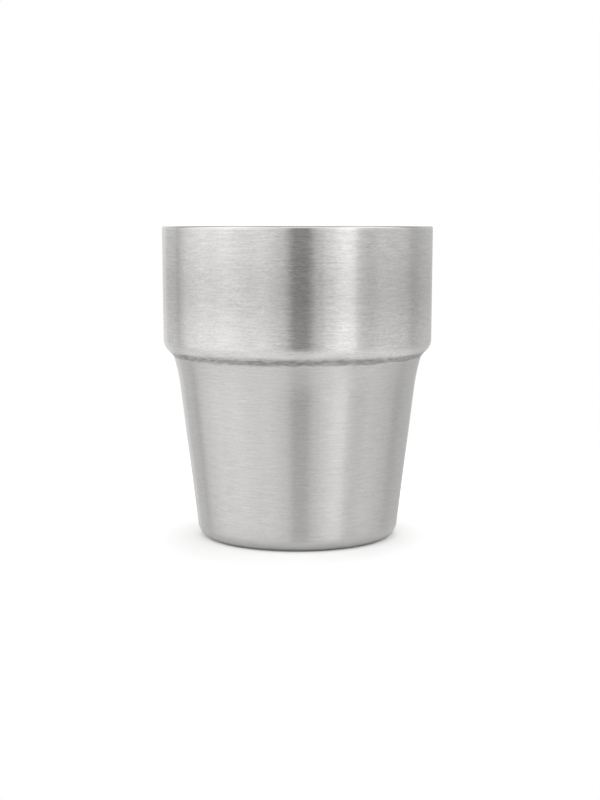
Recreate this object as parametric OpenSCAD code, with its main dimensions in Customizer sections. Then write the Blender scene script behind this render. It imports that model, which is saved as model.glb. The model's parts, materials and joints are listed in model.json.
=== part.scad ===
// Stepped stacking cup in brushed stainless steel, with a double wall that holds a vacuum.
// Every pressed piece is a turned sheet: a rounded path in radius and height, thickened to one side.
// The origin is the centre of the foot, at the level that the cup stands on, and +Z is up.

/* [Cup] */
// Outside diameter at the lip
rim_d = 86; // [80:0.5:100]
// Height from the foot to the top of the lip
cup_h = 99; // [88:0.5:130]
// Diameter of the base at the sharp corner outside the foot radius
base_d = 63.4; // [58:0.2:70]
// Radius that rolls the wall under to the foot
foot_radius = 4.2; // [2.5:0.1:6]
// How much narrower the band is at the shoulder than at the lip, on each side
band_draft = 0.22; // [0.06:0.02:1]

/* [Shoulder] */
// Height of the crease under the shoulder
crease_h = 58.2; // [46:0.2:66]
// How far the shoulder steps out from the crease
shoulder_step = 3.2; // [2.8:0.05:5]
// How far the shoulder rises from the crease to the band
shoulder_rise = 3.2; // [3:0.1:5]
// Radius of the hollow in the crease
crease_radius = 4.2; // [1.5:0.1:5]
// Radius of the turn from the shoulder into the band
shoulder_radius = 4.7; // [1.5:0.1:5]
// How far below the crease the wall leans out further
flare_drop = 6.6; // [6:0.1:14]
// How far out that carries the wall at the crease
flare_step = 0.84; // [0.3:0.02:1.2]
// Radius that eases the straight wall into the flare
flare_radius = 60; // [30:5:70]

/* [Double wall] */
// Thickness of the sheet steel
sheet_t = 0.5; // [0.4:0.05:0.6]
// Gap between the two lower walls
vacuum_gap = 2.2; // [1.6:0.1:2.6]
// Clearance at the mouth around the body of the next cup in a stack
stack_clearance = 0.3; // [0.1:0.05:0.6]
// Height of the seam at the lip, where liner and shell touch
lip_seam_h = 2.4; // [2:0.1:4]
// Height over which the liner draws in from the seam to the mouth
lip_flare_h = 4.5; // [3.5:0.1:7]
// Radius of the liner's turns at the lip
lip_turn_radius = 4; // [2:0.5:5]
// Radius of the liner's turns at the shoulder
liner_turn_radius = 4; // [1.5:0.5:4]
// Radius in the corner of the liner's floor
floor_radius = 6; // [3:0.5:9]

/* [Base] */
// Width of the flat ring that the cup stands on
foot_w = 1.9; // [1:0.1:4]
// Radius of the turn from the foot up into the collar
collar_bend = 1; // [0.8:0.1:1.5]
// Radius of the bends in the two pressed base discs
press_radius = 1; // [0.8:0.1:1.4]
// Depth of the recess under the base cap
cap_recess = 2.2; // [2:0.1:4]
// Gap from the base cap up to the weld of the vacuum base
cap_gap = 0.5; // [0.3:0.1:2]
// Depth of the flange on the vacuum base
vacuum_flange_h = 2.4; // [2:0.1:4]
// Leg of the weld under that flange
weld_leg = 0.5; // [0.3:0.05:0.8]
// Turn of the collar bend that the base cap's weld covers, in degrees
cap_weld_turn = 37.5; // [22.5:7.5:45]

/* [Seal, getter and foil] */
// Diameter of the pocket for the glass seal
pocket_d = 12; // [9:0.5:16]
// Height of that pocket
pocket_h = 1.8; // [1.4:0.1:3]
// Diameter of the hole that the air is drawn out through
vent_d = 1.6; // [1:0.1:2.5]
// Depth of the glass bead under the hole
bead_h = 1; // [0.5:0.1:1.2]
// Flat rim of the pocket that the bead leaves bare
bead_margin = 0.8; // [0.3:0.1:1.5]
// Diameter of the getter tablet
getter_d = 8; // [6:0.5:9]
// Thickness of the getter tablet
getter_t = 1.4; // [0.8:0.1:2]
// Thickness of the clip over the tablet
clip_t = 0.3; // [0.2:0.05:0.4]
// Width of the clip
clip_w = 4; // [3:0.5:5]
// Length of each foot of the clip
clip_foot = 3; // [2:0.5:4]
// Clearance between the tablet and the sides of the clip
clip_clearance = 0.4; // [0.3:0.05:0.8]
// Clearance from what stands on the vacuum base up to the liner
floor_gap = 1.2; // [0.8:0.1:3]
// Thickness of the copper foil round the liner
foil_t = 0.1; // [0.05:0.01:0.2]
// Slack between the foil and the liner
foil_slack = 0.05; // [0.02:0.01:0.2]
// Bare wall left at each end of the foil
foil_margin = 1; // [0.5:0.5:6]

/* [Hidden] */
$fn = 128;

// Straight pieces that stand for each rounded corner
arc_steps = 12;
brushed_steel = [0.75, 0.75, 0.74];
satin_steel = [0.68, 0.68, 0.67];
weld_steel = [0.82, 0.82, 0.81];
copper = [0.8, 0.5, 0.36];
solder_glass = [0.45, 0.42, 0.38];
getter_grey = [0.3, 0.3, 0.31];

// Outline of the outside, as sharp corners before they are rounded
rim_r = rim_d / 2;
lip_z = cup_h - sheet_t;
shoulder_h = crease_h + shoulder_rise;
shoulder_r = rim_r - band_draft;
crease_r = shoulder_r - shoulder_step;
base_r = base_d / 2;
flare_h = crease_h - flare_drop;
function wall_r(z) = base_r + (crease_r - flare_step - base_r) * z / crease_h;

base_corner = [base_r, 0];
flare_corner = [wall_r(flare_h), flare_h];
crease_corner = [crease_r, crease_h];
shoulder_corner = [shoulder_r, shoulder_h];
rim_corner = [rim_r, lip_z];

// Headings along that outline, and the side of each that faces the vacuum
function heading(a, b) = (b - a) / norm(b - a);
function left(v) = [-v.y, v.x];
wall_heading = heading(base_corner, flare_corner);
flare_heading = heading(flare_corner, crease_corner);
shoulder_heading = heading(crease_corner, shoulder_corner);
band_heading = heading(shoulder_corner, rim_corner);
wall_in = left(wall_heading);
band_in = left(band_heading);
function turn_between(u, v) = atan2(cross(u, v), u * v);
function corner_reach(radius, u, v) = radius * tan(abs(turn_between(u, v)) / 2);

// Collar that the foot turns up into, and the two discs that close it
collar_r = base_r - corner_reach(foot_radius, [1, 0], wall_heading) - foot_w - collar_bend;
cap_top = cap_recess + sheet_t;
vacuum_z = cap_top + cap_gap + weld_leg;
vacuum_top = vacuum_z + vacuum_flange_h;
collar_top = vacuum_top - press_radius;
pocket_r = pocket_d / 2;
pocket_top = vacuum_top + pocket_h;
vent_r = vent_d / 2;
getter_r = getter_d / 2;
getter_x = (pocket_r + collar_r) / 2;

// Inside of the liner, set off from the outside by the whole wall
wall_t = 2 * sheet_t + vacuum_gap;
mouth_r = crease_r + stack_clearance;
floor_z = vacuum_top + max(pocket_h, getter_t + clip_t) + floor_gap + sheet_t;
function band_point(z) = shoulder_corner + band_heading * (z - shoulder_h) / band_heading.y;
function mitre(u, v) = (left(u) + left(v)) / (1 + u * v);
seam_top = rim_corner + 2 * sheet_t * band_in;
seam_foot = band_point(lip_z - lip_seam_h) + 2 * sheet_t * band_in;
mouth_z = lip_z - lip_seam_h - lip_flare_h;
ledge = crease_corner + wall_t * left(shoulder_heading);
ledge_top = ledge + shoulder_heading * (mouth_r - ledge.x) / shoulder_heading.x;
liner_crease = crease_corner + wall_t * mitre(flare_heading, shoulder_heading);
liner_flare = flare_corner + wall_t * mitre(wall_heading, flare_heading);
floor_r = wall_r(floor_z - wall_t * wall_in.y) + wall_t * wall_in.x;

// Corners of each sheet's path, as radius, height and rounding
shell_path = [
    [collar_r, collar_top, 0],
    [collar_r, 0, collar_bend],
    [base_r, 0, foot_radius],
    [flare_corner.x, flare_corner.y, flare_radius],
    [crease_r, crease_h, crease_radius],
    [shoulder_r, shoulder_h, shoulder_radius],
    [rim_r, lip_z, 0]
];
liner_path = [
    [seam_top.x, seam_top.y, 0],
    [seam_foot.x, seam_foot.y, lip_turn_radius],
    [mouth_r, mouth_z, lip_turn_radius],
    [ledge_top.x, ledge_top.y, liner_turn_radius],
    [liner_crease.x, liner_crease.y, liner_turn_radius],
    [liner_flare.x, liner_flare.y, flare_radius],
    [floor_r, floor_z, floor_radius],
    [0, floor_z, 0]
];
vacuum_base_path = [
    [collar_r, vacuum_z, 0],
    [collar_r, vacuum_top, press_radius],
    [pocket_r, vacuum_top, press_radius],
    [pocket_r, pocket_top, press_radius],
    [vent_r, pocket_top, 0]
];
base_cap_path = [
    [collar_r, collar_bend, 0],
    [collar_r, cap_top, press_radius],
    [0, cap_top, 0]
];

// Where a path has its corner i, and the headings into and out of it
function at(path, i) = [path[i].x, path[i].y];
function into(path, i) = heading(at(path, i - 1), at(path, i));
function out_of(path, i) = heading(at(path, i), at(path, i + 1));
function turned(v, angle) = [v.x * cos(angle) - v.y * sin(angle), v.x * sin(angle) + v.y * cos(angle)];

// Corner i as an arc: points along it, each with its unit normal to the left
function corner_arc(path, i) =
    let (
        u = into(path, i),
        turn = turn_between(u, out_of(path, i)),
        signed_radius = sign(turn) * path[i].z,
        start = at(path, i) - u * corner_reach(path[i].z, u, out_of(path, i)),
        centre = start + signed_radius * left(u)
    )
    [for (k = [0:arc_steps])
        let (normal = turned(left(u), turn * k / arc_steps))
        [centre - signed_radius * normal, normal]];

// The whole path, its ends included
function rounded(path) =
    let (last = len(path) - 1)
    concat(
        [[at(path, 0), left(out_of(path, 0))]],
        [for (i = [1:last - 1]) each corner_arc(path, i)],
        [[at(path, last), left(into(path, last))]]
    );

// Cross-section of a sheet that lies to the left of its path
module sheet_section(path, thickness) {
    face = rounded(path);
    count = len(face);
    back = [for (k = [1:count]) face[count - k][0] + thickness * face[count - k][1]];
    polygon(concat([for (p = face) p[0]], back));
}

module turned_sheet(path) {
    rotate_extrude() sheet_section(path, sheet_t);
}

// Outer wall: band, shoulder, lower wall, foot and the collar inside the foot
module outer_shell() {
    color(brushed_steel) turned_sheet(shell_path);
}

// Drinking side: mouth, inner shoulder, lower wall and floor
module inner_liner() {
    color(satin_steel) turned_sheet(liner_path);
}

// Half-round seam over the two sheet edges at the lip
module lip_weld() {
    seam_centre = rim_corner + sheet_t * band_in;
    half_turn_angle = 180;
    color(weld_steel)
        rotate_extrude()
            polygon([for (k = [0:arc_steps])
                seam_centre - sheet_t * turned(band_in, half_turn_angle * k / arc_steps)]);
}

// Copper sleeve on the liner's straight lower wall, in the vacuum
module foil_wrap() {
    low = floor_z + floor_radius + foil_margin;
    high = flare_h - corner_reach(flare_radius, wall_heading, flare_heading) - foil_margin;
    foil_in = sheet_t + vacuum_gap - foil_slack;
    foil_out = foil_in - foil_t;
    function wall_point(z, depth) = [wall_r(z), z] + depth * wall_in;
    color(copper)
        rotate_extrude()
            polygon([
                wall_point(low, foil_in),
                wall_point(low, foil_out),
                wall_point(high, foil_out),
                wall_point(high, foil_in)
            ]);
}

// Dished disc that closes the vacuum, with the vent in a raised pocket
module vacuum_base() {
    color(satin_steel) turned_sheet(vacuum_base_path);
}

// Fillet weld under the flange of the vacuum base
module vacuum_base_weld() {
    color(weld_steel)
        rotate_extrude()
            polygon([
                [collar_r - sheet_t, vacuum_z],
                [collar_r, vacuum_z - weld_leg],
                [collar_r, vacuum_z]
            ]);
}

// Glass that was melted over the vent, with a plug in the hole and a domed drop below
module sealing_bead() {
    ceiling = pocket_top - sheet_t;
    bead_r = pocket_r - press_radius - bead_margin;
    drop_r = (pow(bead_r, 2) + pow(bead_h, 2)) / (2 * bead_h);
    drop_turn = asin(bead_r / drop_r);
    drop_z = ceiling - bead_h + drop_r;
    drop = [for (k = [0:arc_steps])
        let (a = drop_turn * k / arc_steps)
        [drop_r * sin(a), drop_z - drop_r * cos(a)]];
    color(solder_glass)
        rotate_extrude()
            polygon(concat(drop, [[vent_r, ceiling], [vent_r, pocket_top], [0, pocket_top]]));
}

// Sintered tablet that takes up stray gas
module getter_tablet() {
    color(getter_grey)
        translate([getter_x, 0, vacuum_top])
            cylinder(d = getter_d, h = getter_t);
}

// Spring-steel strap over the tablet, with a foot at each side
module getter_clip() {
    side = getter_r + clip_clearance;
    foot_end = side + clip_foot;
    top_bend = clip_clearance / 2;
    foot_bend = clip_t + top_bend;
    path = [
        [-foot_end, 0, 0],
        [-side, 0, foot_bend],
        [-side, getter_t, top_bend],
        [side, getter_t, top_bend],
        [side, 0, foot_bend],
        [foot_end, 0, 0]
    ];
    color(satin_steel)
        translate([getter_x, 0, vacuum_top])
            rotate([90, 0, 90])
                linear_extrude(height = clip_w, center = true)
                    sheet_section(path, clip_t);
}

// Disc that covers the seal, recessed inside the foot
module base_cap() {
    color(satin_steel) turned_sheet(base_cap_path);
}

// Weld in the notch between the cap's edge and the collar bend
module base_cap_weld() {
    bend = corner_arc(shell_path, 1);
    bend_turn = turn_between(into(shell_path, 1), out_of(shell_path, 1));
    covered = round(arc_steps * cap_weld_turn / bend_turn);
    color(weld_steel)
        rotate_extrude()
            polygon(concat(
                [[collar_r - sheet_t, collar_bend]],
                [for (k = [covered:-1:0]) bend[k][0]]
            ));
}

outer_shell();
inner_liner();
lip_weld();
foil_wrap();
vacuum_base();
vacuum_base_weld();
sealing_bead();
getter_tablet();
getter_clip();
base_cap();
base_cap_weld();
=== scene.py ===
# Looks of a stepped stacking cup in brushed stainless steel, in metres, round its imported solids.
import json
import math

import bmesh
import bpy
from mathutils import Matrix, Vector


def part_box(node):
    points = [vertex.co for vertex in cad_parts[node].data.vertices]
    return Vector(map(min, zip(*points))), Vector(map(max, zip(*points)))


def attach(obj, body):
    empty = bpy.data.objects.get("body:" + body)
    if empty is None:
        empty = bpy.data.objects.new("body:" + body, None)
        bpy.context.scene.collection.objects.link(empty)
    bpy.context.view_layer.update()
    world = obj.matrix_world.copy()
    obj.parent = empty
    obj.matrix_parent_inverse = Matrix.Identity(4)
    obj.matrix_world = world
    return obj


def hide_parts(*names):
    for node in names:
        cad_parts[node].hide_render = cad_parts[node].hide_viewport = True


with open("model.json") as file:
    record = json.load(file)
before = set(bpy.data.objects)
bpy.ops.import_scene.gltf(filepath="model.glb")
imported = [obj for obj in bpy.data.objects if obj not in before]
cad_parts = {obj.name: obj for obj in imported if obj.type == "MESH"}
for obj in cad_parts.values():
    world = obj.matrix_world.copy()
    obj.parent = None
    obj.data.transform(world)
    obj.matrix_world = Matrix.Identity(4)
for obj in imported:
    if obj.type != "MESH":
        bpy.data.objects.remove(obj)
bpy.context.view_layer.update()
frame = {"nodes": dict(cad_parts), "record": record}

MM = 0.001

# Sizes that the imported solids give
shell_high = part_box("outer_shell")[1]
lip_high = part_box("lip_weld")[1]
liner_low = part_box("inner_liner")[0]
cap_low, cap_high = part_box("base_cap")
mouth = next(mount for mount in frame["record"]["mounts"] if mount["name"] == "mouth")

rim_r = shell_high.x
lip_z = shell_high.z
sheet_t = lip_high.z - lip_z
floor_z = liner_low.z + sheet_t
mouth_r = mouth["dims"]["r_mm"] * MM
collar_r = cap_high.x
collar_bend = cap_low.z
cap_top = cap_high.z

# Sizes that they don't give, as in the part's source
base_r = 31.7 * MM
foot_radius = 4.2 * MM
band_draft = 0.22 * MM
crease_h = 58.2 * MM
shoulder_step = 3.2 * MM
shoulder_rise = 3.2 * MM
crease_radius = 4.2 * MM
shoulder_radius = 4.7 * MM
flare_drop = 6.6 * MM
flare_step = 0.84 * MM
flare_radius = 60 * MM
vacuum_gap = 2.2 * MM
lip_seam_h = 2.4 * MM
lip_flare_h = 4.5 * MM
lip_turn_radius = 4 * MM
liner_turn_radius = 4 * MM
floor_radius = 6 * MM
collar_top = 5.1 * MM
press_radius = 1 * MM
cap_weld_turn = math.radians(37.5)

# Fineness of the turned meshes
RUN_STEP = 1.6 * MM
ARC_STEP = math.radians(4.5)
LEAST_ARC_STEPS = 4
TURN_STEPS = 192
SHARP_ANGLE = math.radians(40)
SAME_POINT = 0.002 * MM


# Headings and offsets in the plane of radius and height

def heading(start, end):
    return (end - start).normalized()


def left(way):
    """A quarter turn anticlockwise."""
    return Vector((-way.y, way.x))


def turn_between(into, out):
    return math.atan2(into.cross(out), into.dot(out))


def mitre(into, out):
    """Step to the left, from a corner to the same corner of a path that lies a distance of 1 away."""
    return (left(into) + left(out)) / (1 + into.dot(out))


def headings_at(path, i):
    """Headings into and out of corner i; at an end of the path both are its only heading."""
    points = [point for point, rounding in path]
    into = heading(points[i - 1], points[i]) if i > 0 else None
    out = heading(points[i], points[i + 1]) if i + 1 < len(points) else None
    return into or out, out or into


def set_off(path, distance):
    """The same rounded path, moved to its left."""
    moved = []
    for i, (point, rounding) in enumerate(path):
        into, out = headings_at(path, i)
        tighter = math.copysign(distance, turn_between(into, out))
        new_rounding = max(rounding - tighter, 0) if rounding else 0
        moved.append((point + distance * mitre(into, out), new_rounding))
    return moved


# Drawing of a path in the XZ plane, by extruding and spinning its last vertex

def in_space(point):
    return Vector((point.x, 0, point.y))


def start_at(bm, point):
    return bmesh.ops.create_vert(bm, co=in_space(point))["vert"][0]


def run_to(bm, tip, point):
    """Carries the tip straight to a point, in short even pieces so that the shading stays true."""
    start = tip.co.copy()
    end = in_space(point)
    pieces = max(1, math.ceil((end - start).length / RUN_STEP))
    for piece in range(1, pieces + 1):
        tip = bmesh.ops.extrude_vert_indiv(bm, verts=[tip])["verts"][0]
        tip.co = start.lerp(end, piece / pieces)
    return tip


def bend(bm, tip, centre, angle):
    """Carries the tip round a centre, anticlockwise for a positive angle."""
    steps = max(LEAST_ARC_STEPS, math.ceil(abs(angle) / ARC_STEP))
    made = bmesh.ops.spin(bm, geom=[tip], cent=in_space(centre), axis=(0, -1, 0),
                          angle=angle, steps=steps)
    return next(item for item in made["geom_last"] if isinstance(item, bmesh.types.BMVert))


def trace(bm, path, tip=None):
    """Draws a rounded path on from the tip, or from its own first point, and returns the new tip."""
    for i, (point, rounding) in enumerate(path):
        into, out = headings_at(path, i)
        angle = turn_between(into, out)
        start = point - into * rounding * math.tan(abs(angle) / 2)
        tip = start_at(bm, start) if tip is None else run_to(bm, tip, start)
        if rounding:
            centre = start + left(into) * math.copysign(rounding, angle)
            tip = bend(bm, tip, centre, angle)
    return tip


def turned_piece(name, bm):
    """Turns the drawn section round the cup's axis into a closed solid."""
    bmesh.ops.remove_doubles(bm, verts=bm.verts[:], dist=SAME_POINT)
    bmesh.ops.spin(bm, geom=bm.verts[:] + bm.edges[:], cent=(0, 0, 0), axis=(0, 0, 1),
                   angle=math.tau, steps=TURN_STEPS, use_merge=True)
    bmesh.ops.remove_doubles(bm, verts=bm.verts[:], dist=SAME_POINT)
    bmesh.ops.recalc_face_normals(bm, faces=bm.faces[:])
    for face in bm.faces:
        face.smooth = True
    for edge in bm.edges:
        edge.smooth = edge.calc_face_angle(0) < SHARP_ANGLE
    mesh = bpy.data.meshes.new(name)
    bm.to_mesh(mesh)
    bm.free()
    piece = bpy.data.objects.new(name, mesh)
    bpy.context.scene.collection.objects.link(piece)
    return piece


def turned_sheet(name, path):
    """A sheet that lies to the left of its path; one that ends on the axis needs no edge there."""
    first, last = path[0][0], path[-1][0]
    back = set_off(path, sheet_t)
    back.reverse()
    bm = bmesh.new()
    tip = trace(bm, path)
    tip = trace(bm, back, tip if last.x > 0 else None)
    run_to(bm, tip, first)
    return turned_piece(name, bm)


# Corners of the outside, as sharp points before they are rounded
shoulder_h = crease_h + shoulder_rise
shoulder_r = rim_r - band_draft
crease_r = shoulder_r - shoulder_step
flare_h = crease_h - flare_drop


def wall_r(z):
    return base_r + (crease_r - flare_step - base_r) * z / crease_h


base_corner = Vector((base_r, 0))
flare_corner = Vector((wall_r(flare_h), flare_h))
crease_corner = Vector((crease_r, crease_h))
shoulder_corner = Vector((shoulder_r, shoulder_h))
rim_corner = Vector((rim_r, lip_z))
wall_heading = heading(base_corner, flare_corner)
flare_heading = heading(flare_corner, crease_corner)
shoulder_heading = heading(crease_corner, shoulder_corner)
band_heading = heading(shoulder_corner, rim_corner)
band_in = left(band_heading)


# Pieces that show

def cup_wall():
    """Outer wall: collar, foot, lower wall, shoulder and band."""
    return turned_sheet("cup_wall", [
        (Vector((collar_r, collar_top)), 0),
        (Vector((collar_r, 0)), collar_bend),
        (base_corner, foot_radius),
        (flare_corner, flare_radius),
        (crease_corner, crease_radius),
        (shoulder_corner, shoulder_radius),
        (rim_corner, 0),
    ])


def drinking_liner():
    """Inner wall, from the lip down to the floor, at the thickness of the double wall."""
    wall_t = 2 * sheet_t + vacuum_gap
    wall_in = left(wall_heading)
    seam_foot_z = lip_z - lip_seam_h
    band_foot = shoulder_corner + band_heading * (seam_foot_z - shoulder_h) / band_heading.y
    ledge = crease_corner + wall_t * left(shoulder_heading)
    ledge_top = ledge + shoulder_heading * (mouth_r - ledge.x) / shoulder_heading.x
    floor_r = wall_r(floor_z - wall_t * wall_in.y) + wall_t * wall_in.x
    return turned_sheet("drinking_liner", [
        (rim_corner + 2 * sheet_t * band_in, 0),
        (band_foot + 2 * sheet_t * band_in, lip_turn_radius),
        (Vector((mouth_r, seam_foot_z - lip_flare_h)), lip_turn_radius),
        (ledge_top, liner_turn_radius),
        (crease_corner + wall_t * mitre(flare_heading, shoulder_heading), liner_turn_radius),
        (flare_corner + wall_t * mitre(wall_heading, flare_heading), flare_radius),
        (Vector((floor_r, floor_z)), floor_radius),
        (Vector((0, floor_z)), 0),
    ])


def lip_seam():
    """Half-round seam that covers the edges of both walls."""
    bm = bmesh.new()
    tip = start_at(bm, rim_corner)
    tip = bend(bm, tip, rim_corner + sheet_t * band_in, math.pi)
    run_to(bm, tip, rim_corner)
    return turned_piece("lip_seam", bm)


def foot_cap():
    """Disc that closes the collar, recessed inside the foot."""
    return turned_sheet("foot_cap", [
        (Vector((collar_r, collar_bend)), 0),
        (Vector((collar_r, cap_top)), press_radius),
        (Vector((0, cap_top)), 0),
    ])


def foot_weld():
    """Weld in the notch between the cap's edge and the bend of the collar."""
    bm = bmesh.new()
    outer_edge = Vector((collar_r, collar_bend))
    tip = start_at(bm, outer_edge)
    tip = bend(bm, tip, Vector((collar_r + collar_bend, collar_bend)), cap_weld_turn)
    tip = run_to(bm, tip, Vector((collar_r - sheet_t, collar_bend)))
    run_to(bm, tip, outer_edge)
    return turned_piece("foot_weld", bm)


# Shader expressions

class Wire:
    """An output in a node tree; arithmetic on it adds Math nodes."""

    def __init__(self, finish, socket):
        self.finish = finish
        self.socket = socket

    def maths(self, operation, first, second):
        inputs = {"Value": first, "Value_001": second}
        return self.finish.node("ShaderNodeMath", {"operation": operation}, inputs)["Value"]

    def __add__(self, other):
        return self.maths("ADD", self, other)

    def __radd__(self, other):
        return self.maths("ADD", other, self)

    def __sub__(self, other):
        return self.maths("SUBTRACT", self, other)

    def __rsub__(self, other):
        return self.maths("SUBTRACT", other, self)

    def __mul__(self, other):
        return self.maths("MULTIPLY", self, other)

    def __rmul__(self, other):
        return self.maths("MULTIPLY", other, self)

    def __truediv__(self, other):
        return self.maths("DIVIDE", self, other)

    def __neg__(self):
        return self.maths("MULTIPLY", self, -1)

    def __abs__(self):
        return self.maths("ABSOLUTE", self, 0)


class Finish:
    """The node tree of a material or of the world, emptied."""

    def __init__(self, owner):
        owner.use_nodes = True
        self.tree = owner.node_tree
        self.tree.nodes.clear()

    def node(self, kind, settings=None, inputs=None):
        """Adds a node, sets its settings and then its sockets, and returns its outputs by name."""
        node = self.tree.nodes.new(kind)
        for name, value in (settings or {}).items():
            setattr(node, name, value)
        sockets = {socket.identifier: socket for socket in node.inputs}
        for name, value in (inputs or {}).items():
            if isinstance(value, Wire):
                self.tree.links.new(value.socket, sockets[name])
            else:
                sockets[name].default_value = value
        return {socket.identifier: Wire(self, socket) for socket in node.outputs}


def new_finish(name):
    material = bpy.data.materials.new(name)
    return material, Finish(material)


# Places and patterns on a surface

# Share of the radius in the place across brush marks, which makes them rings on a floor
RADIUS_SHARE = 0.7
# Value that noise swings round
NOISE_MIDDLE = 0.5


def place(finish):
    """Object coordinates, and the distance from the cup's axis."""
    position = finish.node("ShaderNodeTexCoord")["Object"]
    axes = finish.node("ShaderNodeSeparateXYZ", inputs={"Vector": position})
    flat = finish.node("ShaderNodeCombineXYZ", inputs={"X": axes["X"], "Y": axes["Y"]})["Vector"]
    radius = finish.node("ShaderNodeVectorMath", {"operation": "LENGTH"}, {"Vector": flat})["Value"]
    return {"x": axes["X"], "y": axes["Y"], "z": axes["Z"], "radius": radius}


def noise(finish, position, scale, detail):
    inputs = {"Vector": position, "Scale": scale, "Detail": detail}
    return finish.node("ShaderNodeTexNoise", inputs=inputs)["Fac"]


def brush_marks(finish, length, width):
    """Noise drawn out round the axis: lines on a wall and rings on a floor."""
    at = place(finish)
    across = (at["z"] + RADIUS_SHARE * at["radius"]) / width
    inputs = {"X": at["x"] / length, "Y": at["y"] / length, "Z": across}
    drawn_out = finish.node("ShaderNodeCombineXYZ", inputs=inputs)["Vector"]
    return noise(finish, drawn_out, scale=1.0, detail=1.0)


def brushing(finish, short, long):
    """Short and long brush marks in equal parts, each given by its length and width."""
    return 0.5 * brush_marks(finish, *short) + 0.5 * brush_marks(finish, *long)


def clouds(finish, size, detail=2.0):
    """Even noise with patches of about the given size."""
    position = finish.node("ShaderNodeTexCoord")["Object"]
    return noise(finish, position, scale=1 / size, detail=detail)


def ramp(finish, value, low, high):
    """0 at low and 1 at high, eased at both ends."""
    settings = {"interpolation_type": "SMOOTHSTEP"}
    inputs = {"Value": value, "From Min": low, "From Max": high}
    return finish.node("ShaderNodeMapRange", settings, inputs)["Result"]


def stretch(finish, value, centre, half, feather):
    """1 within half of the centre, falling to 0 over the feather."""
    return 1 - ramp(finish, abs(value - centre), half - feather / 2, half + feather / 2)


def towards(level, goal, amount):
    """The level at an amount of 0 and the goal at 1."""
    return level + amount * (goal - level)


# Colours and surfaces

# Red and blue of the steel against its green
STEEL_RED = 1.012
STEEL_BLUE = 0.9808
# Quarter turn, so that the gloss spreads across the brush marks
GLOSS_TURN = 0.25


def grey(level):
    """A neutral steel tone, slightly warm."""
    return level * STEEL_RED, level, level * STEEL_BLUE, 1


def mix_colour(finish, mask, first, second):
    inputs = {"Factor_Float": mask, "A_Color": first, "B_Color": second}
    return finish.node("ShaderNodeMix", {"data_type": "RGBA"}, inputs)["Result_Color"]


def close(finish, height, relief, inputs):
    """Ends a finish with a surface that is embossed by the height and has the inputs given."""
    embossing = {"Height": height, "Strength": 1.0, "Distance": relief}
    normal = finish.node("ShaderNodeBump", inputs=embossing)["Normal"]
    shader = finish.node("ShaderNodeBsdfPrincipled", inputs={**inputs, "Normal": normal})["BSDF"]
    finish.node("ShaderNodeOutputMaterial", inputs={"Surface": shader})


def close_metal(colour, roughness, height, relief, gloss_spread=0.0):
    close(colour.finish, height, relief, {
        "Base Color": colour,
        "Metallic": 1.0,
        "Roughness": roughness,
        "Anisotropic": gloss_spread,
        "Anisotropic Rotation": GLOSS_TURN,
    })


# Outside of the cup: length and width of its brush marks, and their roughness from hollow to top
WALL_SHORT_MARKS = (1.2 * MM, 0.42 * MM)
WALL_LONG_MARKS = (6 * MM, 0.55 * MM)
WALL_ROUGHNESS = (0.195, 0.245)
# Tone and contrast of the lower wall and of the band, and the heights over the crease where they change
TONES = (0.73, 0.7)
TONE_CHANGE = (-4.2 * MM, 3.8 * MM)
CONTRASTS = (0.27, 0.45)
CONTRAST_CHANGE = (-2.2 * MM, 1.8 * MM)
# Patches of weaker and stronger marks, as shares of the contrast
PATCH_SIZE = 7 * MM
PATCH_SHARES = (0.3, 1.7)
# Painted highlights by the lip, at its edge and by the shoulder: the share that each adds to the tone, and
# where it starts and is full, as depths under the lip's edge and as heights over the crease
LIP_PAINTED_HIGHLIGHT = 0.15
LIP_PAINTED_HIGHLIGHT_DEPTHS = (18.5 * MM, 0.5 * MM)
EDGE_PAINTED_HIGHLIGHT = 0.2
EDGE_PAINTED_HIGHLIGHT_DEPTHS = (0.5 * MM, 0.1 * MM)
SHOULDER_PAINTED_HIGHLIGHT = 0.2
SHOULDER_PAINTED_HIGHLIGHT_FOOT = (0.3 * MM, 3.3 * MM)
SHOULDER_PAINTED_HIGHLIGHT_TOP = (21.8 * MM, 4.8 * MM)
# Painted shade and more roughness in the crease: where they start and are full, as heights over its corner,
# and how far their edges wander
CREASE_FOOT = (-0.6 * MM, 0.2 * MM)
CREASE_TOP = (2.3 * MM, 0.9 * MM)
CREASE_WAVE = 1.2 * MM
CREASE_WAVE_SIZE = 3 * MM
# The painted shade is streaked by its own marks, which take their value off the tone, less the value at
# which they leave it alone
CREASE_SHADE_MARKS = (2.5 * MM, 0.45 * MM)
CREASE_SHADE_FREE_MARK = 0.17
CREASE_ROUGHNESS = 0.12


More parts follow.
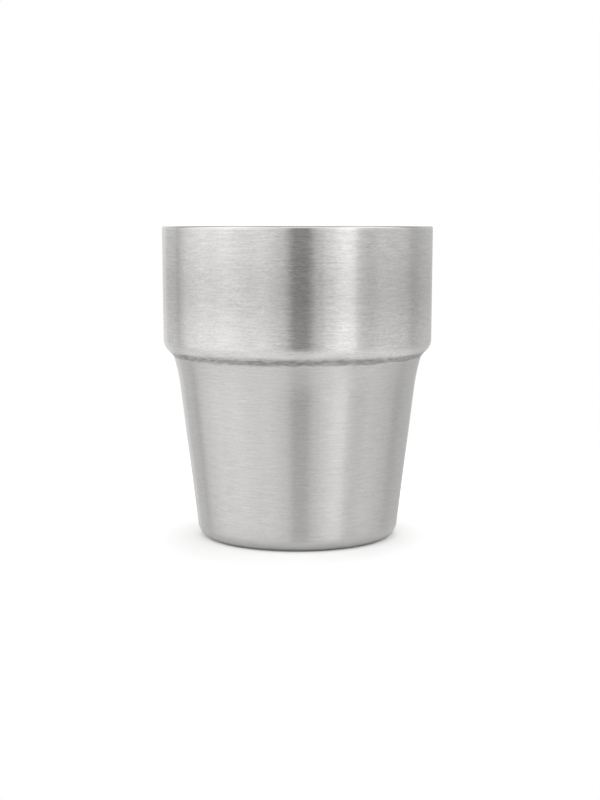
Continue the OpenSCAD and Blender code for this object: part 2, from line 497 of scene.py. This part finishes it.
def brushed_steel():
    """Outside of the cup: brush lines, painted highlights by the lip and shoulder, and painted shade in the
    rougher crease.
    """
    material, finish = new_finish("brushed_steel")
    z = place(finish)["z"]
    over_crease = z - crease_h
    under_lip = lip_z - z
    lines = brushing(finish, WALL_SHORT_MARKS, WALL_LONG_MARKS)
    contrast = towards(*CONTRASTS, ramp(finish, over_crease, *CONTRAST_CHANGE))
    contrast = contrast * towards(*PATCH_SHARES, clouds(finish, PATCH_SIZE))
    tone = towards(*TONES, ramp(finish, over_crease, *TONE_CHANGE)) + contrast * (lines - NOISE_MIDDLE)
    # Painted highlights: the tone is made paler by the lip, at its edge and by the shoulder
    painted_lip_highlight = LIP_PAINTED_HIGHLIGHT * ramp(finish, under_lip, *LIP_PAINTED_HIGHLIGHT_DEPTHS)
    painted_edge_highlight = EDGE_PAINTED_HIGHLIGHT * ramp(finish, under_lip, *EDGE_PAINTED_HIGHLIGHT_DEPTHS)
    painted_shoulder_highlight = SHOULDER_PAINTED_HIGHLIGHT * ramp(finish, over_crease, *SHOULDER_PAINTED_HIGHLIGHT_FOOT)
    painted_shoulder_highlight = painted_shoulder_highlight * ramp(finish, over_crease, *SHOULDER_PAINTED_HIGHLIGHT_TOP)
    tone = tone * (1 + painted_lip_highlight + painted_edge_highlight + painted_shoulder_highlight)
    # Painted shade: the tone is darkened in the crease, in streaks; the same mask makes the crease rougher
    wavy = over_crease + CREASE_WAVE * (clouds(finish, CREASE_WAVE_SIZE) - NOISE_MIDDLE)
    crease = ramp(finish, wavy, *CREASE_FOOT) * ramp(finish, wavy, *CREASE_TOP)
    tone = tone * (1 - crease * (brush_marks(finish, *CREASE_SHADE_MARKS) - CREASE_SHADE_FREE_MARK))
    colour = mix_colour(finish, tone, grey(0), grey(1))
    roughness = towards(*WALL_ROUGHNESS, lines) + CREASE_ROUGHNESS * crease
    close_metal(colour, roughness, lines, relief=0.003 * MM, gloss_spread=1.0)
    return material


def ringed_steel(name, short, long, tones, roughness, relief):
    """Steel spun to a soft sheen; each pair of values runs from the hollows of its rings to their tops."""
    material, finish = new_finish(name)
    rings = brushing(finish, short, long)
    dark, pale = tones
    colour = mix_colour(finish, rings, grey(dark), grey(pale))
    close_metal(colour, towards(*roughness, rings), rings, relief, gloss_spread=0.9)
    return material


def satin_steel():
    """Inside of the cup."""
    return ringed_steel("satin_steel", short=(3 * MM, 0.5 * MM), long=(14 * MM, 0.8 * MM),
                        tones=(0.5, 0.9), roughness=(0.24, 0.36), relief=0.006 * MM)


def base_steel():
    """Underside of the cup."""
    return ringed_steel("base_steel", short=(3 * MM, 0.4 * MM), long=(14 * MM, 0.6 * MM),
                        tones=(0.46, 0.8), roughness=(0.25, 0.35), relief=0.005 * MM)


def lip_steel():
    """Polished seam, with faint rub marks along it."""
    material, finish = new_finish("lip_steel")
    rubs = brush_marks(finish, length=9 * MM, width=0.12 * MM)
    colour = mix_colour(finish, rubs, grey(0.84), grey(0.94))
    roughness = towards(0.13, 0.21, rubs)
    close_metal(colour, roughness, rubs, relief=0.002 * MM, gloss_spread=0.5)
    return material


def weld_steel():
    """Bare weld with small ripples and a straw tint from the heat."""
    material, finish = new_finish("weld_steel")
    straw = (0.62, 0.55, 0.45, 1)
    tint = clouds(finish, size=6 * MM)
    colour = mix_colour(finish, tint, grey(0.62), straw)
    ripple = clouds(finish, size=0.8 * MM, detail=3.0)
    roughness = towards(0.22, 0.42, ripple)
    close_metal(colour, roughness, ripple, relief=0.05 * MM)
    return material


def pressed_steel():
    """Mill finish of the hidden pressings."""
    material, finish = new_finish("pressed_steel")
    mottle = clouds(finish, size=2.5 * MM, detail=4.0)
    colour = mix_colour(finish, mottle, grey(0.5), grey(0.6))
    roughness = towards(0.34, 0.48, mottle)
    close_metal(colour, roughness, mottle, relief=0.01 * MM)
    return material


def copper_foil():
    """Bright foil with soft creases."""
    material, finish = new_finish("copper_foil")
    dark = (0.66, 0.36, 0.24, 1)
    pale = (0.8, 0.48, 0.34, 1)
    creases = clouds(finish, size=4 * MM, detail=3.0)
    colour = mix_colour(finish, creases, dark, pale)
    roughness = towards(0.18, 0.3, creases)
    close_metal(colour, roughness, creases, relief=0.15 * MM)
    return material


def mottled(name, dark, pale, size, roughness, relief):
    """A mottled finish that isn't metal."""
    material, finish = new_finish(name)
    mottle = clouds(finish, size, detail=4.0)
    colour = mix_colour(finish, mottle, dark, pale)
    close(finish, mottle, relief, {"Base Color": colour, "Roughness": towards(*roughness, mottle)})
    return material


def solder_glass():
    """Opaque glass of the seal."""
    return mottled("solder_glass", dark=(0.3, 0.27, 0.23, 1), pale=(0.42, 0.39, 0.34, 1),
                   size=1.5 * MM, roughness=(0.08, 0.18), relief=0.02 * MM)


def getter():
    """Sintered tablet."""
    return mottled("getter", dark=(0.12, 0.12, 0.13, 1), pale=(0.2, 0.2, 0.21, 1),
                   size=0.3 * MM, roughness=(0.75, 0.85), relief=0.05 * MM)


# Dressing: turned pieces stand for the nodes that show, and the hidden nodes take their finish

def dress(piece, node, material):
    piece.data.materials.append(material)
    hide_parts(node)
    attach(piece, "root")


welds = weld_steel()
dress(cup_wall(), "outer_shell", brushed_steel())
dress(drinking_liner(), "inner_liner", satin_steel())
dress(lip_seam(), "lip_weld", lip_steel())
dress(foot_cap(), "base_cap", base_steel())
dress(foot_weld(), "base_cap_weld", welds)

pressings = pressed_steel()
hidden_finishes = {
    "foil_wrap": copper_foil(),
    "vacuum_base": pressings,
    "vacuum_base_weld": welds,
    "sealing_bead": solder_glass(),
    "getter_tablet": getter(),
    "getter_clip": pressings,
}
for node, material in hidden_finishes.items():
    for slot in frame["nodes"][node].material_slots:
        slot.material = material


# Studio: a pale floor, and soft panels round the cup that its metal mirrors

# Panels round the cup: bearing in degrees, from the camera and to its right, half width and soft edge in
# degrees, and what each adds to the level of the room
ROOM_LEVEL = 0.55
PANELS = {
    "camera and its stand": (3, 10, 12, -0.4),
    "left softbox": (-85, 20, 55, 0.4),
    "left glow": (-45, 25, 25, 0.26),
    "right strip": (42, 10, 20, 0.35),
    "core of the right strip": (36, 14, 2, 0.16),
    "right screen": (90, 20, 10, 0.08),
    "frame of the left softbox": (-121, 3, 4, -0.08),
    "gap beside the left softbox": (-130, 18, 8, -0.11),
    "gap beside the right screen": (140, 35, 35, -0.18),
    "back of the room": (160, 45, 55, 0.18),
    "back of the room, other half": (-160, 45, 55, 0.18),
}
# Zones laid over the panels in this order: the heights in degrees where each starts and is full, the same
# for its depths, the share that it hides of what lies under it, and its level. A depth is the Y of a
# direction of unit length, which grows away from the camera.
ZONES = {
    "dome on the camera's side": ((22, 40), (0.6, 0.2), 1.0, 1.2),
    "dim ceiling": ((60, 75), (0.6, 0.3), 1.0, 0.42),
    "dark end of the room": ((15, 30), (0.3, 0.6), 1.0, 0.3),
    "sweep on the camera's side": ((-14, -20), (0.4, -0.2), 0.85, 0.78),
    "dim edge of the sweep behind": ((-16, -21), (-0.2, 0.4), 0.85, 0.62),
    "sweep below that edge": ((-25, -35), (-0.2, 0.4), 0.85, 0.78),
}
# White backdrop, which only the camera sees
BACKDROP_SEEN = 1.0

# Floor: a wide disc, and its level for light that it scatters, as it is seen and as it is mirrored
FLOOR_RADIUS = 4000 * MM
FLOOR_SIDES = 96
FLOOR_ALBEDO = 0.75
FLOOR_SEEN = 1.3
FLOOR_MIRRORED = 0.86
# Distances from the axis where it gives way to the backdrop, as it is seen and as it is mirrored
SEEN_FADE = (100 * MM, 250 * MM)
MIRRORED_FADE = (33 * MM, 46 * MM)

# Lamp for the floor, which the metal doesn't mirror: above the cup and a little behind it, so that the
# shadow falls towards the camera
FLOOR_LAMP_SIZE = 400 * MM
FLOOR_LAMP_PLACE = Vector((30, 190, 620)) * MM
FLOOR_LAMP_WATTS = 1.2

# Camera at the photograph's viewing angle, for a picture of 600 by 800
SENSOR_MM = 36
IMAGE_HEIGHT_PX = 800
FOCAL_PX = 1515
CAMERA_DISTANCE = 485.5 * MM
CAMERA_ABOVE_LIP = 1 * MM
CAMERA_ASIDE = 0.82 * MM
CAMERA_PITCH = math.radians(6.655)
CAMERA_CLIP = 10 * MM


def pale_floor():
    bm = bmesh.new()
    bmesh.ops.create_circle(bm, cap_ends=True, segments=FLOOR_SIDES, radius=FLOOR_RADIUS)
    mesh = bpy.data.meshes.new("floor")
    bm.to_mesh(mesh)
    bm.free()
    floor = bpy.data.objects.new("floor", mesh)
    bpy.context.scene.collection.objects.link(floor)
    material, finish = new_finish("pale_floor")
    radius = place(finish)["radius"]
    rays = finish.node("ShaderNodeLightPath")
    level = towards(FLOOR_ALBEDO, FLOOR_SEEN, rays["Is Camera Ray"])
    level = towards(level, FLOOR_MIRRORED, rays["Is Glossy Ray"])
    pale = finish.node("ShaderNodeBsdfDiffuse", inputs={"Color": level})["BSDF"]
    clear = finish.node("ShaderNodeBsdfTransparent")["BSDF"]
    unseen = rays["Is Camera Ray"] * ramp(finish, radius, *SEEN_FADE)
    passed = unseen + rays["Is Glossy Ray"] * ramp(finish, radius, *MIRRORED_FADE)
    inputs = {"Fac": passed, "Shader": pale, "Shader_001": clear}
    shader = finish.node("ShaderNodeMixShader", inputs=inputs)["Shader"]
    finish.node("ShaderNodeOutputMaterial", inputs={"Surface": shader})
    mesh.materials.append(material)


def panel_level(finish, x, y):
    """Level of the panels in the bearing of a direction."""
    bearing = x.maths("ARCTAN2", x, -y)
    level = ROOM_LEVEL
    for centre, half, feather, amount in PANELS.values():
        shape = [math.radians(angle) for angle in (centre, half, feather)]
        level = level + amount * stretch(finish, bearing, *shape)
    return level


def beyond(finish, z, start, full):
    """0 up to the first height in degrees and 1 from the second, for a direction of unit length."""
    return ramp(finish, z, math.sin(math.radians(start)), math.sin(math.radians(full)))


def studio_light():
    world = bpy.data.worlds.new("studio")
    bpy.context.scene.world = world
    finish = Finish(world)
    direction = finish.node("ShaderNodeTexCoord")["Generated"]
    axes = finish.node("ShaderNodeSeparateXYZ", inputs={"Vector": direction})
    level = panel_level(finish, axes["X"], axes["Y"])
    for heights, depths, share, goal in ZONES.values():
        covered = share * beyond(finish, axes["Z"], *heights) * ramp(finish, axes["Y"], *depths)
        level = towards(level, goal, covered)
    seen = finish.node("ShaderNodeLightPath")["Is Camera Ray"]
    inputs = {"Color": (1, 1, 1, 1), "Strength": towards(level, BACKDROP_SEEN, seen)}
    light = finish.node("ShaderNodeBackground", inputs=inputs)["Background"]
    finish.node("ShaderNodeOutputWorld", inputs={"Surface": light})


def floor_lamp():
    glow = bpy.data.lights.new("floor_lamp", "AREA")
    glow.shape = "DISK"
    glow.size = FLOOR_LAMP_SIZE
    glow.energy = FLOOR_LAMP_WATTS
    lamp = bpy.data.objects.new("floor_lamp", glow)
    lamp.location = FLOOR_LAMP_PLACE
    lamp.rotation_euler = (-FLOOR_LAMP_PLACE).to_track_quat("-Z", "Y").to_euler()
    lamp.visible_glossy = False
    bpy.context.scene.collection.objects.link(lamp)


def camera():
    lens = bpy.data.cameras.new("camera")
    lens.sensor_width = SENSOR_MM
    lens.lens = FOCAL_PX * SENSOR_MM / IMAGE_HEIGHT_PX
    lens.clip_start = CAMERA_CLIP
    stand = bpy.data.objects.new("camera", lens)
    stand.location = (CAMERA_ASIDE, -CAMERA_DISTANCE, lip_high.z + CAMERA_ABOVE_LIP)
    stand.rotation_euler = (math.pi / 2 - CAMERA_PITCH, 0, 0)
    bpy.context.scene.collection.objects.link(stand)
    bpy.context.scene.camera = stand


pale_floor()
studio_light()
floor_lamp()
camera()
bpy.context.scene.view_settings.view_transform = "Standard"
